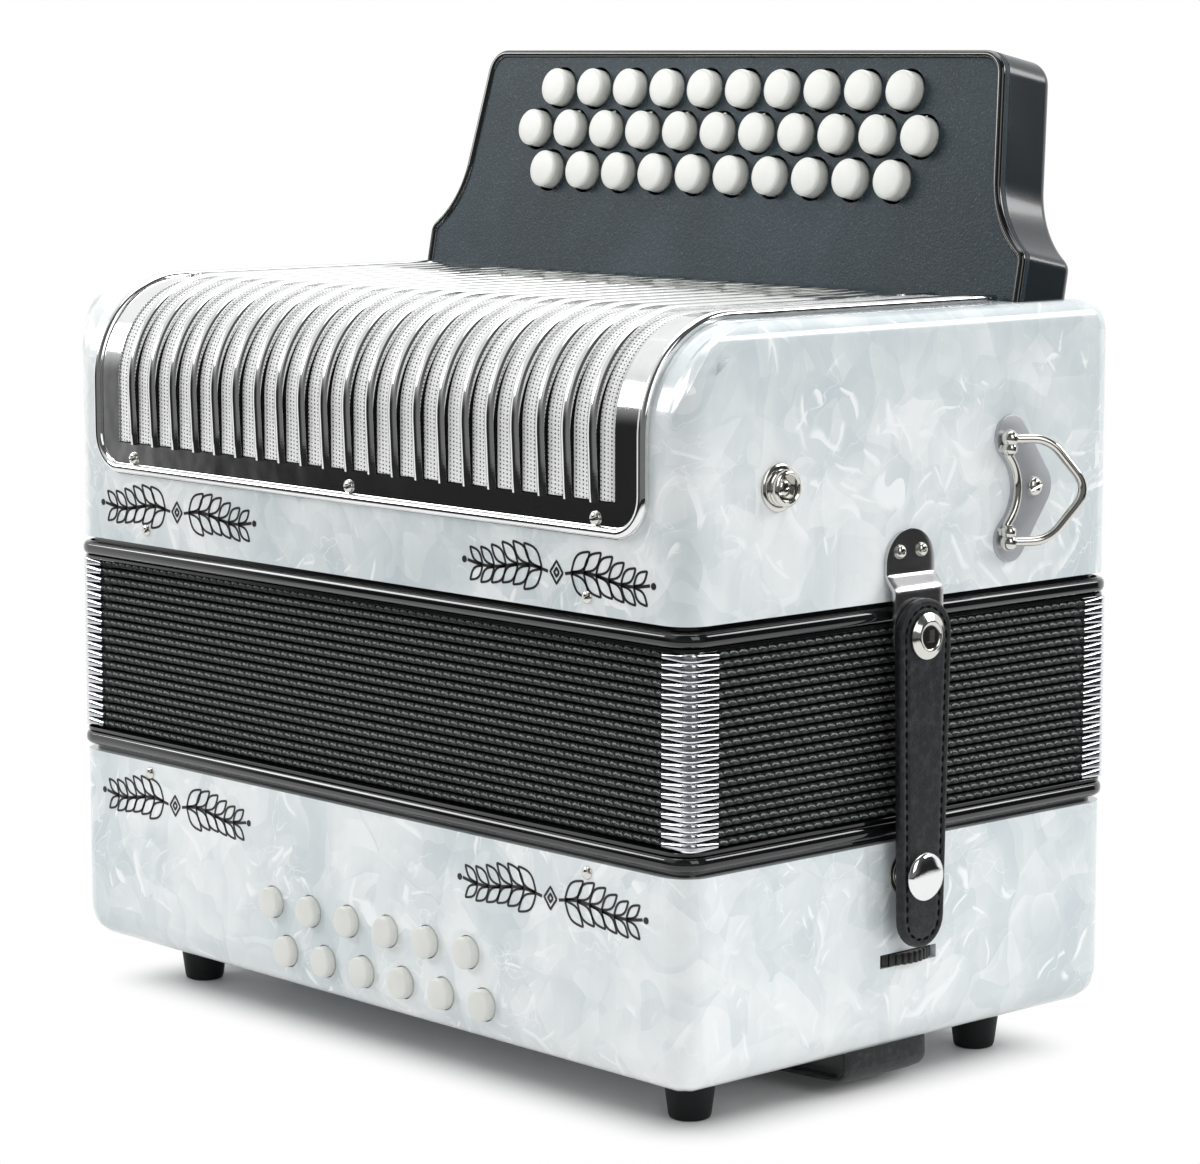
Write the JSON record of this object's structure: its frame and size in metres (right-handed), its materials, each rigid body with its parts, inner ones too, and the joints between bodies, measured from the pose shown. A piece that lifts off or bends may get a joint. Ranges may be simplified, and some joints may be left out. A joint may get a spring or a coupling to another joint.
{
  "type": "button accordion",
  "caption": "Free-reed accordion with rows of round buttons on a raised fingerboard, a slotted metal grille, pleated bellows and bass buttons, standing on rubber feet.",
  "frame": {"origin": "middle of the footprint, on the floor under the bass feet", "axes": "+X along the case towards the end with the strap wheel, -Y towards the grille and bass buttons, +Z from the bass side to the treble side"},
  "size_m": [0.3556, 0.202, 0.333],
  "materials": {
    "pearl_case": "polished pearl celluloid, white and pale grey",
    "chrome": "polished",
    "black_board": "fine grained face, gloss housing",
    "wood": "plain",
    "black_gloss": "gloss lacquer",
    "nickel": "polished nickel",
    "bellows_cloth": "woven tape",
    "rubber": "matt",
    "leather": "fine grain",
    "black_plastic": "satin",
    "ivory": "satin gloss"
  },
  "bodies": {
    "bass_side": {"bass_frame": "black_gloss", "bass_case": "pearl_case", "bass_soundboard": "wood", "bass_fittings": "nickel", "feet": "rubber", "hand_strap": "leather", "bellows": "bellows_cloth"},
    "treble_side": {"treble_case": "pearl_case", "treble_grille": "chrome", "fingerboard": "black_board", "treble_soundboard": "wood", "treble_frame": "black_gloss", "treble_fittings": "nickel"},
    "straps": {"closure_straps": "leather"},
    "ring_right": {"strap_ring_right": "nickel"},
    "ring_left": {"strap_ring_left": "nickel"},
    "wheel": {"strap_wheel": "black_plastic"},
    "treble_key_01": {"treble_button_01": "ivory"},
    "treble_key_02": {"treble_button_02": "ivory"},
    "treble_key_03": {"treble_button_03": "ivory"},
    "treble_key_04": {"treble_button_04": "ivory"},
    "treble_key_05": {"treble_button_05": "ivory"},
    "treble_key_06": {"treble_button_06": "ivory"},
    "treble_key_07": {"treble_button_07": "ivory"},
    "treble_key_08": {"treble_button_08": "ivory"},
    "treble_key_09": {"treble_button_09": "ivory"},
    "treble_key_10": {"treble_button_10": "ivory"},
    "treble_key_11": {"treble_button_11": "ivory"},
    "treble_key_12": {"treble_button_12": "ivory"},
    "treble_key_13": {"treble_button_13": "ivory"},
    "treble_key_14": {"treble_button_14": "ivory"},
    "treble_key_15": {"treble_button_15": "ivory"},
    "treble_key_16": {"treble_button_16": "ivory"},
    "treble_key_17": {"treble_button_17": "ivory"},
    "treble_key_18": {"treble_button_18": "ivory"},
    "treble_key_19": {"treble_button_19": "ivory"},
    "treble_key_20": {"treble_button_20": "ivory"},
    "treble_key_21": {"treble_button_21": "ivory"},
    "treble_key_22": {"treble_button_22": "ivory"},
    "treble_key_23": {"treble_button_23": "ivory"},
    "treble_key_24": {"treble_button_24": "ivory"},
    "treble_key_25": {"treble_button_25": "ivory"},
    "treble_key_26": {"treble_button_26": "ivory"},
    "treble_key_27": {"treble_button_27": "ivory"},
    "treble_key_28": {"treble_button_28": "ivory"},
    "treble_key_29": {"treble_button_29": "ivory"},
    "treble_key_30": {"treble_button_30": "ivory"},
    "treble_key_31": {"treble_button_31": "ivory"},
    "bass_key_01": {"bass_button_01": "ivory"},
    "bass_key_02": {"bass_button_02": "ivory"},
    "bass_key_03": {"bass_button_03": "ivory"},
    "bass_key_04": {"bass_button_04": "ivory"},
    "bass_key_05": {"bass_button_05": "ivory"},
    "bass_key_06": {"bass_button_06": "ivory"},
    "bass_key_07": {"bass_button_07": "ivory"},
    "bass_key_08": {"bass_button_08": "ivory"},
    "bass_key_09": {"bass_button_09": "ivory"},
    "bass_key_10": {"bass_button_10": "ivory"},
    "bass_key_11": {"bass_button_11": "ivory"},
    "bass_key_12": {"bass_button_12": "ivory"}
  },
  "joints": [
    {"name": "bellows_draw", "type": "slide", "parent": "bass_side", "child": "treble_side", "axis": [0, 0, 1], "range_m": [0, 0.25], "deforming": ["bellows"]},
    {"name": "strap_swing", "type": "hinge", "parent": "treble_side", "child": "straps", "pos_m": [0, -0.0018, 0.1509], "axis": [1, 0, 0], "range_deg": [-131, 0]},
    {"name": "ring_right_swing", "type": "hinge", "parent": "treble_side", "child": "ring_right", "pos_m": [0.16175, 0.0408, 0.1932], "axis": [0, 0, 1], "range_deg": [-110, 28]},
    {"name": "ring_left_swing", "type": "hinge", "parent": "treble_side", "child": "ring_left", "pos_m": [-0.16175, 0.0408, 0.1932], "axis": [0, 0, 1], "range_deg": [-28, 110]},
    {"name": "wheel_turn", "type": "hinge", "parent": "bass_side", "child": "wheel", "pos_m": [0.14, 0.0004, 0.0464], "axis": [0, 0, 1], "continuous": true},
    {"name": "treble_key_01_press", "type": "hinge", "parent": "treble_side", "child": "treble_key_01", "pos_m": [0, 0.06537, 0.23548], "axis": [1, 0, 0], "range_deg": [-1.79, 0], "stiffness_Nm_per_rad": 1.2, "springref_deg": 2.86},
    {"name": "treble_key_02_press", "type": "hinge", "parent": "treble_side", "child": "treble_key_02", "pos_m": [0, 0.06537, 0.23548], "axis": [1, 0, 0], "range_deg": [-1.79, 0], "stiffness_Nm_per_rad": 1.2, "springref_deg": 2.86},
    {"name": "treble_key_03_press", "type": "hinge", "parent": "treble_side", "child": "treble_key_03", "pos_m": [0, 0.06537, 0.23548], "axis": [1, 0, 0], "range_deg": [-1.79, 0], "stiffness_Nm_per_rad": 1.2, "springref_deg": 2.86},
    {"name": "treble_key_04_press", "type": "hinge", "parent": "treble_side", "child": "treble_key_04", "pos_m": [0, 0.06537, 0.23548], "axis": [1, 0, 0], "range_deg": [-1.79, 0], "stiffness_Nm_per_rad": 1.2, "springref_deg": 2.86},
    {"name": "treble_key_05_press", "type": "hinge", "parent": "treble_side", "child": "treble_key_05", "pos_m": [0, 0.06537, 0.23548], "axis": [1, 0, 0], "range_deg": [-1.79, 0], "stiffness_Nm_per_rad": 1.2, "springref_deg": 2.86},
    {"name": "treble_key_06_press", "type": "hinge", "parent": "treble_side", "child": "treble_key_06", "pos_m": [0, 0.06537, 0.23548], "axis": [1, 0, 0], "range_deg": [-1.79, 0], "stiffness_Nm_per_rad": 1.2, "springref_deg": 2.86},
    {"name": "treble_key_07_press", "type": "hinge", "parent": "treble_side", "child": "treble_key_07", "pos_m": [0, 0.06537, 0.23548], "axis": [1, 0, 0], "range_deg": [-1.79, 0], "stiffness_Nm_per_rad": 1.2, "springref_deg": 2.86},
    {"name": "treble_key_08_press", "type": "hinge", "parent": "treble_side", "child": "treble_key_08", "pos_m": [0, 0.06537, 0.23548], "axis": [1, 0, 0], "range_deg": [-1.79, 0], "stiffness_Nm_per_rad": 1.2, "springref_deg": 2.86},
    {"name": "treble_key_09_press", "type": "hinge", "parent": "treble_side", "child": "treble_key_09", "pos_m": [0, 0.06537, 0.23548], "axis": [1, 0, 0], "range_deg": [-1.79, 0], "stiffness_Nm_per_rad": 1.2, "springref_deg": 2.86},
    {"name": "treble_key_10_press", "type": "hinge", "parent": "treble_side", "child": "treble_key_10", "pos_m": [0, 0.06537, 0.23548], "axis": [1, 0, 0], "range_deg": [-1.79, 0], "stiffness_Nm_per_rad": 1.2, "springref_deg": 2.86},
    {"name": "treble_key_11_press", "type": "hinge", "parent": "treble_side", "child": "treble_key_11", "pos_m": [0, 0.06537, 0.23548], "axis": [1, 0, 0], "range_deg": [-2.18, 0], "stiffness_Nm_per_rad": 1.2, "springref_deg": 2.86},
    {"name": "treble_key_12_press", "type": "hinge", "parent": "treble_side", "child": "treble_key_12", "pos_m": [0, 0.06537, 0.23548], "axis": [1, 0, 0], "range_deg": [-2.18, 0], "stiffness_Nm_per_rad": 1.2, "springref_deg": 2.86},
    {"name": "treble_key_13_press", "type": "hinge", "parent": "treble_side", "child": "treble_key_13", "pos_m": [0, 0.06537, 0.23548], "axis": [1, 0, 0], "range_deg": [-2.18, 0], "stiffness_Nm_per_rad": 1.2, "springref_deg": 2.86},
    {"name": "treble_key_14_press", "type": "hinge", "parent": "treble_side", "child": "treble_key_14", "pos_m": [0, 0.06537, 0.23548], "axis": [1, 0, 0], "range_deg": [-2.18, 0], "stiffness_Nm_per_rad": 1.2, "springref_deg": 2.86},
    {"name": "treble_key_15_press", "type": "hinge", "parent": "treble_side", "child": "treble_key_15", "pos_m": [0, 0.06537, 0.23548], "axis": [1, 0, 0], "range_deg": [-2.18, 0], "stiffness_Nm_per_rad": 1.2, "springref_deg": 2.86},
    {"name": "treble_key_16_press", "type": "hinge", "parent": "treble_side", "child": "treble_key_16", "pos_m": [0, 0.06537, 0.23548], "axis": [1, 0, 0], "range_deg": [-2.18, 0], "stiffness_Nm_per_rad": 1.2, "springref_deg": 2.86},
    {"name": "treble_key_17_press", "type": "hinge", "parent": "treble_side", "child": "treble_key_17", "pos_m": [0, 0.06537, 0.23548], "axis": [1, 0, 0], "range_deg": [-2.18, 0], "stiffness_Nm_per_rad": 1.2, "springref_deg": 2.86},
    {"name": "treble_key_18_press", "type": "hinge", "parent": "treble_side", "child": "treble_key_18", "pos_m": [0, 0.06537, 0.23548], "axis": [1, 0, 0], "range_deg": [-2.18, 0], "stiffness_Nm_per_rad": 1.2, "springref_deg": 2.86},
    {"name": "treble_key_19_press", "type": "hinge", "parent": "treble_side", "child": "treble_key_19", "pos_m": [0, 0.06537, 0.23548], "axis": [1, 0, 0], "range_deg": [-2.18, 0], "stiffness_Nm_per_rad": 1.2, "springref_deg": 2.86},
    {"name": "treble_key_20_press", "type": "hinge", "parent": "treble_side", "child": "treble_key_20", "pos_m": [0, 0.06537, 0.23548], "axis": [1, 0, 0], "range_deg": [-2.18, 0], "stiffness_Nm_per_rad": 1.2, "springref_deg": 2.86},
    {"name": "treble_key_21_press", "type": "hinge", "parent": "treble_side", "child": "treble_key_21", "pos_m": [0, 0.06537, 0.23548], "axis": [1, 0, 0], "range_deg": [-2.18, 0], "stiffness_Nm_per_rad": 1.2, "springref_deg": 2.86},
    {"name": "treble_key_22_press", "type": "hinge", "parent": "treble_side", "child": "treble_key_22", "pos_m": [0, 0.06537, 0.23548], "axis": [1, 0, 0], "range_deg": [-2.81, 0], "stiffness_Nm_per_rad": 1.2, "springref_deg": 2.86},
    {"name": "treble_key_23_press", "type": "hinge", "parent": "treble_side", "child": "treble_key_23", "pos_m": [0, 0.06537, 0.23548], "axis": [1, 0, 0], "range_deg": [-2.81, 0], "stiffness_Nm_per_rad": 1.2, "springref_deg": 2.86},
    {"name": "treble_key_24_press", "type": "hinge", "parent": "treble_side", "child": "treble_key_24", "pos_m": [0, 0.06537, 0.23548], "axis": [1, 0, 0], "range_deg": [-2.81, 0], "stiffness_Nm_per_rad": 1.2, "springref_deg": 2.86},
    {"name": "treble_key_25_press", "type": "hinge", "parent": "treble_side", "child": "treble_key_25", "pos_m": [0, 0.06537, 0.23548], "axis": [1, 0, 0], "range_deg": [-2.81, 0], "stiffness_Nm_per_rad": 1.2, "springref_deg": 2.86},
    {"name": "treble_key_26_press", "type": "hinge", "parent": "treble_side", "child": "treble_key_26", "pos_m": [0, 0.06537, 0.23548], "axis": [1, 0, 0], "range_deg": [-2.81, 0], "stiffness_Nm_per_rad": 1.2, "springref_deg": 2.86},
    {"name": "treble_key_27_press", "type": "hinge", "parent": "treble_side", "child": "treble_key_27", "pos_m": [0, 0.06537, 0.23548], "axis": [1, 0, 0], "range_deg": [-2.81, 0], "stiffness_Nm_per_rad": 1.2, "springref_deg": 2.86},
    {"name": "treble_key_28_press", "type": "hinge", "parent": "treble_side", "child": "treble_key_28", "pos_m": [0, 0.06537, 0.23548], "axis": [1, 0, 0], "range_deg": [-2.81, 0], "stiffness_Nm_per_rad": 1.2, "springref_deg": 2.86},
    {"name": "treble_key_29_press", "type": "hinge", "parent": "treble_side", "child": "treble_key_29", "pos_m": [0, 0.06537, 0.23548], "axis": [1, 0, 0], "range_deg": [-2.81, 0], "stiffness_Nm_per_rad": 1.2, "springref_deg": 2.86},
    {"name": "treble_key_30_press", "type": "hinge", "parent": "treble_side", "child": "treble_key_30", "pos_m": [0, 0.06537, 0.23548], "axis": [1, 0, 0], "range_deg": [-2.81, 0], "stiffness_Nm_per_rad": 1.2, "springref_deg": 2.86},
    {"name": "treble_key_31_press", "type": "hinge", "parent": "treble_side", "child": "treble_key_31", "pos_m": [0, 0.06537, 0.23548], "axis": [1, 0, 0], "range_deg": [-2.81, 0], "stiffness_Nm_per_rad": 1.2, "springref_deg": 2.86},
    {"name": "bass_key_01_press", "type": "slide", "parent": "bass_side", "child": "bass_key_01", "axis": [0, 1, 0], "range_m": [0, 0.0028], "stiffness_N_per_m": 300, "springref_m": -0.002},
    {"name": "bass_key_02_press", "type": "slide", "parent": "bass_side", "child": "bass_key_02", "axis": [0, 1, 0], "range_m": [0, 0.0028], "stiffness_N_per_m": 300, "springref_m": -0.002},
    {"name": "bass_key_03_press", "type": "slide", "parent": "bass_side", "child": "bass_key_03", "axis": [0, 1, 0], "range_m": [0, 0.0028], "stiffness_N_per_m": 300, "springref_m": -0.002},
    {"name": "bass_key_04_press", "type": "slide", "parent": "bass_side", "child": "bass_key_04", "axis": [0, 1, 0], "range_m": [0, 0.0028], "stiffness_N_per_m": 300, "springref_m": -0.002},
    {"name": "bass_key_05_press", "type": "slide", "parent": "bass_side", "child": "bass_key_05", "axis": [0, 1, 0], "range_m": [0, 0.0028], "stiffness_N_per_m": 300, "springref_m": -0.002},
    {"name": "bass_key_06_press", "type": "slide", "parent": "bass_side", "child": "bass_key_06", "axis": [0, 1, 0], "range_m": [0, 0.0028], "stiffness_N_per_m": 300, "springref_m": -0.002},
    {"name": "bass_key_07_press", "type": "slide", "parent": "bass_side", "child": "bass_key_07", "axis": [0, 1, 0], "range_m": [0, 0.0028], "stiffness_N_per_m": 300, "springref_m": -0.002},
    {"name": "bass_key_08_press", "type": "slide", "parent": "bass_side", "child": "bass_key_08", "axis": [0, 1, 0], "range_m": [0, 0.0028], "stiffness_N_per_m": 300, "springref_m": -0.002},
    {"name": "bass_key_09_press", "type": "slide", "parent": "bass_side", "child": "bass_key_09", "axis": [0, 1, 0], "range_m": [0, 0.0028], "stiffness_N_per_m": 300, "springref_m": -0.002},
    {"name": "bass_key_10_press", "type": "slide", "parent": "bass_side", "child": "bass_key_10", "axis": [0, 1, 0], "range_m": [0, 0.0028], "stiffness_N_per_m": 300, "springref_m": -0.002},
    {"name": "bass_key_11_press", "type": "slide", "parent": "bass_side", "child": "bass_key_11", "axis": [0, 1, 0], "range_m": [0, 0.0028], "stiffness_N_per_m": 300, "springref_m": -0.002},
    {"name": "bass_key_12_press", "type": "slide", "parent": "bass_side", "child": "bass_key_12", "axis": [0, 1, 0], "range_m": [0, 0.0028], "stiffness_N_per_m": 300, "springref_m": -0.002}
  ]
}
